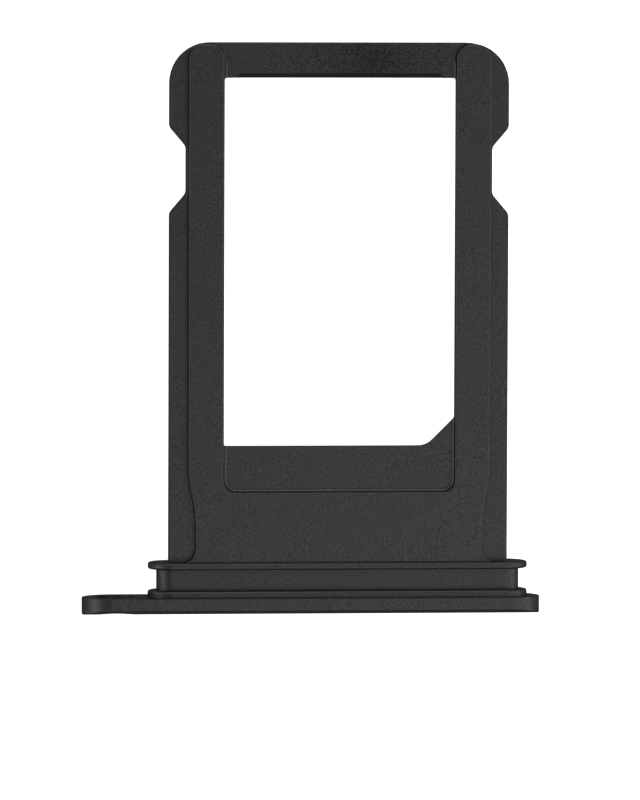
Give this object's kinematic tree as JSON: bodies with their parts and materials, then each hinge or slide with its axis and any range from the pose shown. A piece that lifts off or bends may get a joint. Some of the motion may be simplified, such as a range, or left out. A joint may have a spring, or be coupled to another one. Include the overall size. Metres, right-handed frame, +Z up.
{
  "type": "sim card tray",
  "caption": "Flat metal card tray with a rounded faceplate, an eject pin hole, a gasket groove, a notched frame and a card seat open through a window.",
  "frame": {"origin": "middle of the tray's outline, on the underside of its faceplate", "axes": "+Y from the faceplate into the device, along the tray's depth; +X along the faceplate, away from the eject hole; +Z up through the tray, towards the side where the window's rails stand proud"},
  "size_m": [0.014, 0.0174, 0.0018],
  "materials": {
    "anodised_aluminium": "bead-blasted and anodised in a dark, neutral grey, matte"
  },
  "bodies": {
    "root": {"tray": "anodised_aluminium"}
  },
  "joints": []
}
